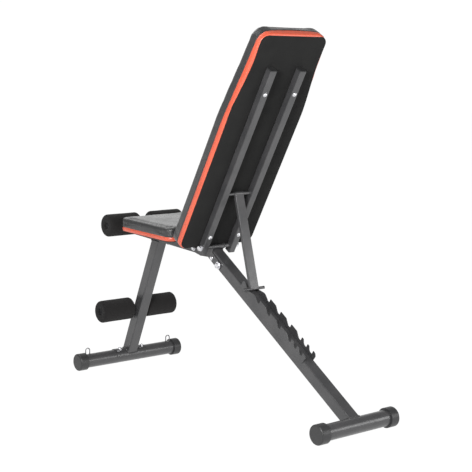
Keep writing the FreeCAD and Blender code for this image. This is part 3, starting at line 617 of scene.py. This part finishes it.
seat_middle = Vector((0, seat_low[1] + SEAT_HALF_LENGTH * math.cos(SEAT_FALL),
                      seat_low[2] + SEAT_HALF_LENGTH * math.sin(SEAT_FALL)))
seat_frame = Matrix.Translation(seat_middle) @ Matrix.Rotation(-SEAT_FALL, 4, "X")
# A pad's outline lies in X and Y and its height along Z, so the backrest's own Z becomes Y here.
HALF_RAIL = 12.5 * MM
rail_face = Matrix.Translation(Vector((0, -HALF_RAIL, 0)))
pad_frame = backrest_frame @ rail_face @ Matrix.Rotation(math.pi / 2, 4, "X")

cushion("seat_pad", seat_outline, seat_frame, SEAT_THICKNESS, SEAT_BAND, "seat_cushion", "frame")
cushion("backrest_pad", pad_outline, pad_frame, PAD_THICKNESS, PAD_BAND, "backrest_cushion",
        "backrest")


# ---------------------------------------------------------------- foam rollers

ROLLER_SEGMENTS = 96
ROLLER_BORE, ROLLER_ROUND = 11.1 * MM, 9 * MM
ROUND_STEPS, WALL_STEPS = 8, 12


def foam_roller(node):
    """A foam sleeve with soft rounded ends that dip a little round the rod's hole."""
    low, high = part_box(node)
    centre = middle(node)
    half = (high[0] - low[0]) / 2
    radius = (high[2] - low[2]) / 2
    mouth = [(10 * MM - half, ROLLER_BORE), (3 * MM - half, ROLLER_BORE),
             (1 * MM - half, ROLLER_BORE + 2 * MM), (-half, ROLLER_BORE + 6 * MM)]
    end = mouth + [(-half, radius - ROLLER_ROUND)]
    for i in range(1, ROUND_STEPS + 1):
        angle = math.pi / 2 * i / ROUND_STEPS
        end.append((ROLLER_ROUND * (1 - math.cos(angle)) - half,
                    radius - ROLLER_ROUND * (1 - math.sin(angle))))
    straight = 2 * (half - ROLLER_ROUND)
    wall = [(ROLLER_ROUND - half + straight * i / WALL_STEPS, radius)
            for i in range(1, WALL_STEPS)]
    other_end = [(-along, reach) for along, reach in reversed(end)]
    bm = bmesh.new()
    turned(bm, end + wall + other_end, Matrix.Identity(4), ROLLER_SEGMENTS, loop=True)
    # The skin is a little uneven, and lies inside the true radius.
    for v in bm.verts:
        outward = Vector((0, v.co.y, v.co.z))
        if outward.length > ROLLER_BORE + 8 * MM:
            dent = noise.noise(v.co * 22.0 + centre * 7.0) * 0.5 * MM - 0.4 * MM
            v.co += outward.normalized() * dent
    obj = piece(node + "_foam", mesh_from(bm, node, Matrix.Translation(centre)), node, FOAM)
    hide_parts(node)


for level in ("lower", "upper"):
    for side_name in ("left", "right"):
        foam_roller("%s_roller_%s" % (level, side_name))


# ---------------------------------------------------------------- bolts

THREAD_PITCH, THREAD_DEPTH = 1.25 * MM, 0.55 * MM
NUT_PROUD = 2.8 * MM
WASHER_THICKNESS = 2 * MM


def washer(bm, place, outer, bore, thickness):
    """A flat washer with softened rims, lying on its place's X."""
    rim = 0.3 * MM
    turned(bm, [(0, bore), (0, outer - rim), (rim, outer), (thickness - rim, outer),
                (thickness, outer - rim), (thickness, bore)], place, loop=True)


def hex_head(bm, place, flats, height):
    """A chamfered hexagon head with a shallow dish on top."""
    corner, inner = flats / 2 / math.cos(math.pi / 6), flats / 2
    seat = [(0, inner * 0.96), (0.3 * MM, inner), (0.7 * MM, corner)]
    chamfer = [(height - 1.4 * MM, corner), (height - 0.5 * MM, inner * 1.04),
               (height, inner * 0.93)]
    dish = [(height, inner * 0.78), (height - 0.5 * MM, inner * 0.70),
            (height - 0.5 * MM, 1 * MM)]
    turned(bm, seat + chamfer + dish, place, flats=flats)


def nut_and_end(bm, place, flats, height, shank, proud):
    """A chamfered nut and the threaded end that stands out of it."""
    corner, inner = flats / 2 / math.cos(math.pi / 6), flats / 2
    chamfers = [(0, inner * 0.96), (1.0 * MM, corner), (height - 1.3 * MM, corner),
                (height - 0.4 * MM, inner * 1.03), (height, inner * 0.92)]
    mouth = [(height - 0.1 * MM, shank + 0.4 * MM), (height - 0.9 * MM, shank - 0.2 * MM)]
    turned(bm, chamfers + mouth, place, flats=flats)
    threads = [(0, shank)]
    turns = int((height + proud) / THREAD_PITCH)
    for i in range(turns):
        threads.append(((i + 0.4) * THREAD_PITCH, shank))
        threads.append(((i + 0.9) * THREAD_PITCH, shank - THREAD_DEPTH))
    threads.append((height + proud, shank - 0.9 * MM))
    turned(bm, threads, place)


def cross_bolt(bolt, body, half_grip, flats, shank, head, nut, washers=None, outer=0.0):
    """A bolt right across the bench: head to the left, nut to the right, with its washers."""
    centre = middle(bolt)
    centre.x = 0.0
    bm = bmesh.new()
    turned(bm, [(-half_grip, shank), (half_grip, shank)], facing(centre, LEFT))
    hex_head(bm, facing(centre + X * half_grip, LEFT), flats, head)
    nut_and_end(bm, facing(centre - X * half_grip, RIGHT), flats, nut, shank, NUT_PROUD)
    replaced = [bolt]
    if washers:
        for side in (LEFT, RIGHT):
            under = centre + X * side * (half_grip - WASHER_THICKNESS)
            washer(bm, facing(under, side), outer, shank, WASHER_THICKNESS)
        replaced.append(washers)
    obj = piece(bolt + "_set", mesh_from(bm, bolt), body, ZINC, sharp=True)
    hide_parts(*replaced)


M10 = {"flats": 17 * MM, "shank": 5 * MM, "head": 6.5 * MM, "nut": 9 * MM}
M8 = {"flats": 13 * MM, "shank": 4 * MM, "head": 5.5 * MM, "nut": 7.5 * MM}
RAILS_HALF_GRIP, PLATES_HALF_GRIP = 74.5 * MM, 23 * MM
cross_bolt("hinge_bolt", "backrest", RAILS_HALF_GRIP,
           washers="hinge_washers", outer=10.5 * MM, **M10)
cross_bolt("leg_pivot_bolt", "frame", PLATES_HALF_GRIP + WASHER_THICKNESS,
           washers="leg_pivot_washers", outer=13 * MM, **M10)
cross_bolt("beam_bolt", "frame", PLATES_HALF_GRIP + WASHER_THICKNESS,
           washers="beam_bolt_washers", outer=9 * MM, **M8)
cross_bolt("leg_lock_bolt", "frame", PLATES_HALF_GRIP, **M8)


# ---------------------------------------------------------------- welds

WELD_STEP = 0.7 * MM
WELD_RIPPLE = 4
WIDE_BEAD, BEAD, FINE_BEAD = 2.6 * MM, 2.2 * MM, 1.7 * MM
SMALL_BEAD, STRUT_BEAD, EYE_BEAD = 1.6 * MM, 1.5 * MM, 1.0 * MM
WELD_OFFSET = 0.4 * MM
weld_half = HALF_TUBE + WELD_OFFSET
leg_edge = resampled(rounded_box(weld_half, weld_half, radius=4 * MM, steps=5), 1.5 * MM, True)


def weld(name, points, body, radius=BEAD, closed=False):
    """A painted weld bead along a joint, in overlapping ripples."""
    line = resampled(points, WELD_STEP, closed)

    def radius_at(i):
        ripple = abs(math.sin(math.pi * i / WELD_RIPPLE))
        return radius * (0.80 + 0.20 * ripple + 0.15 * noise.noise(line[i] * 150.0))

    bm = bmesh.new()
    tube_along(bm, line, radius_at, closed)
    piece(name, mesh_from(bm, name), body, POWDER)


def ring_about(place, radius, steps=48):
    """A circle round a place's X."""
    angles = [2 * math.pi * k / steps for k in range(steps)]
    return [place @ Vector((0, radius * math.cos(angle), radius * math.sin(angle)))
            for angle in angles]


def across_at(place, half_width, y, z):
    """The two ends of a line across the bench, given in a place's own directions."""
    return [place @ Vector((x * half_width, y, z)) for x in (-1, 1)]


def where_leg_meets(leg_frame, round_radius):
    """The line where a square leg meets a round tube or saddle that lies across its foot."""
    return [leg_frame @ Vector((p.x, p.y, math.sqrt(round_radius ** 2 - p.y ** 2)))
            for p in leg_edge]


SADDLE_RADIUS, FOOT_RADIUS = 27.9 * MM, 25.4 * MM
weld("weld_leg_to_saddle", where_leg_meets(front_leg_frame, SADDLE_RADIUS), "frame", WIDE_BEAD,
     closed=True)

leg_run = front_leg_frame.to_3x3() @ Z
underside = beam_rear - beam_up * weld_half
under_beam = []
for p in leg_edge:
    start = front_leg_frame @ Vector((p.x, p.y, 0))
    under_beam.append(start + leg_run * ((underside - start).dot(beam_up) / leg_run.dot(beam_up)))
weld("weld_leg_to_beam", under_beam, "frame", WIDE_BEAD, closed=True)

weld("weld_rear_leg_to_foot", where_leg_meets(rear_leg_frame, FOOT_RADIUS), "frame", WIDE_BEAD,
     closed=True)

ROD_SEAT = 9.4 * MM
rod_face, rod_weld_half = HALF_TUBE + 0.6 * MM, HALF_TUBE * 0.92
for rod, place, face in (("lower", front_leg_frame, -1), ("upper", beam_frame, 1)):
    centre = place.inverted() @ middle(rod + "_roller_rod")
    for word, side in (("near", 1), ("far", -1)):
        line = across_at(place, rod_weld_half, face * rod_face, centre.z + side * ROD_SEAT)
        weld("weld_%s_rod_%s" % (rod, word), line, "frame")

HINGE_PLATE_FACE, SLEEVE_WELD_RADIUS = 24.0 * MM, 7.2 * MM
RAIL_INNER_FACE, ROD_WELD_RADIUS = 46.9 * MM, 5.6 * MM
# The stitch welds of a rack plate: where each starts, up the leg in millimetres, and its length.
RACK_STARTS, RACK_WELD = (300, 372, 444, 516), 22
RACK_EDGE = 5.4 * MM
rack_face = HALF_TUBE + 0.9 * MM
sleeve = middle("hinge_sleeve")
rod_across = middle("mid_rod")
for word, side in (("left", LEFT), ("right", RIGHT)):
    at_plate = facing(sleeve + X * side * HINGE_PLATE_FACE, side)
    weld("weld_sleeve_" + word, ring_about(at_plate, SLEEVE_WELD_RADIUS), "frame", FINE_BEAD,
         closed=True)
    at_rail = facing(rod_across + X * side * RAIL_INNER_FACE, side)
    weld("weld_mid_rod_" + word, ring_about(at_rail, ROD_WELD_RADIUS), "backrest", SMALL_BEAD,
         closed=True)
    for i, along in enumerate(RACK_STARTS):
        ends = [Vector((side * rack_face, RACK_EDGE, (along + step) * MM))
                for step in (0, RACK_WELD)]
        weld("weld_rack_%s_%d" % (word, i), [rear_leg_frame @ p for p in ends], "frame", FINE_BEAD)

strut_length = (middle("strut_cross_bar") - STRUT_TOP).length
STRUT_HALF_WELD, STRUT_FACE = 15.5 * MM, 4.6 * MM
for word, side in (("front", 1), ("rear", -1)):
    for end, along in (("top", 6.6 * MM), ("foot", strut_length - 4.6 * MM)):
        line = across_at(strut_frame, STRUT_HALF_WELD, side * STRUT_FACE, along)
        weld("weld_strut_%s_%s" % (end, word), line, "strut", STRUT_BEAD)

EYE_WIRE = 2 * MM
for word, side in (("left", LEFT), ("right", RIGHT)):
    eye_low, eye_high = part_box("band_eye_" + word)
    for i, x in enumerate((eye_low[0] + EYE_WIRE, eye_high[0] - EYE_WIRE)):
        foot = Vector((x, (eye_low[1] + eye_high[1]) / 2, eye_low[2] + 0.6 * MM))
        upright = Matrix.Translation(foot) @ Matrix.Rotation(math.pi / 2, 4, "Y")
        weld("weld_eye_%s_%d" % (word, i), ring_about(upright, EYE_WIRE, 24), "frame", EYE_BEAD,
             closed=True)


# ---------------------------------------------------------------- stage, light and camera


FLOOR_HALF = 30.0
CAMERA_PLACE = (2.447, 3.0745, 1.049)
VIEW_YAW, VIEW_PITCH = math.radians(-38.865), math.radians(-7.41)
SENSOR_WIDTH, LENS = 36.0, 91.37
LEVEL_LOOK = (math.sin(VIEW_YAW), -math.cos(VIEW_YAW), 0.0)
# The backdrop is white where a direction's share along the level look is high, grey where low.
WHITE_SHARE, GREY_SHARE = 0.95, 0.72
WHITE_LEVEL, GREY_LEVEL = 1.03, 0.30


def white_floor():
    """A seamless high-key floor, bright enough to leave hardly any shadow."""
    bm = bmesh.new()
    bmesh.ops.create_grid(bm, x_segments=1, y_segments=1, size=FLOOR_HALF)
    mesh = mesh_from(bm, "floor")
    floor = bpy.data.objects.new("floor", mesh)
    bpy.context.scene.collection.objects.link(floor)
    made = Material("studio_floor", (0.04, 0.04, 0.04), roughness=0.9, specular=0.0)
    cloud = made.noise(scale=1.5)
    made.set("Base Color", made.mix(cloud, (0.035, 0.035, 0.035), (0.045, 0.045, 0.045)))
    made.set("Emission Color", (1.0, 1.0, 1.0, 1.0))
    made.set("Emission Strength", 1.0)
    mesh.materials.append(made.data)


def area_light(name, position, target, size, power):
    """A round softbox at position, turned towards target."""
    light = bpy.data.lights.new(name, "AREA")
    light.shape = "DISK"
    light.size = size
    light.energy = power
    obj = bpy.data.objects.new(name, light)
    bpy.context.scene.collection.objects.link(obj)
    obj.location = position
    toward = Vector(target) - Vector(position)
    obj.rotation_euler = toward.to_track_quat("-Z", "Y").to_euler()


def studio_backdrop():
    """White where the camera looks, falling to grey all round."""
    world = bpy.data.worlds.new("studio")
    bpy.context.scene.world = world
    world.use_nodes = True
    tree = world.node_tree
    place = tree.nodes.new("ShaderNodeTexCoord")
    toward = tree.nodes.new("ShaderNodeVectorMath")
    toward.operation = "DOT_PRODUCT"
    toward.inputs[1].default_value = LEVEL_LOOK
    fade = tree.nodes.new("ShaderNodeMapRange")
    fade.inputs["From Min"].default_value = GREY_SHARE
    fade.inputs["From Max"].default_value = WHITE_SHARE
    fade.inputs["To Min"].default_value = GREY_LEVEL
    fade.inputs["To Max"].default_value = WHITE_LEVEL
    tree.links.new(place.outputs["Generated"], toward.inputs[0])
    tree.links.new(toward.outputs["Value"], fade.inputs["Value"])
    tree.links.new(fade.outputs["Result"], tree.nodes["Background"].inputs["Strength"])
    tree.nodes["Background"].inputs["Color"].default_value = (1.0, 1.0, 1.0, 1.0)


def studio():
    """The floor, the backdrop and four softboxes."""
    white_floor()
    studio_backdrop()
    area_light("overhead", (0.3, -1.6, 2.6), target=(0, -0.2, 0.5), size=1.6, power=23.0)
    area_light("key", (1.7, 1.2, 1.35), target=(0, 0.2, 0.6), size=0.8, power=46.0)
    area_light("rear_fill", (0.4, 3.2, 1.0), target=(0, 0.1, 0.5), size=1.3, power=24.0)
    area_light("right_rear", (-2.0, 2.5, 0.75), target=(0, 0.4, 0.1), size=1.1, power=17.0)
    bpy.context.scene.view_settings.view_transform = "Standard"


def camera():
    """The viewpoint: behind the bench and to its left, a little above the seat."""
    level = math.cos(VIEW_PITCH)
    look = Vector((math.sin(VIEW_YAW) * level, -math.cos(VIEW_YAW) * level, math.sin(VIEW_PITCH)))
    data = bpy.data.cameras.new("camera")
    data.sensor_width = SENSOR_WIDTH
    data.lens = LENS
    obj = bpy.data.objects.new("camera", data)
    bpy.context.scene.collection.objects.link(obj)
    obj.location = CAMERA_PLACE
    obj.rotation_euler = look.to_track_quat("-Z", "Y").to_euler()
    bpy.context.scene.camera = obj


studio()
camera()
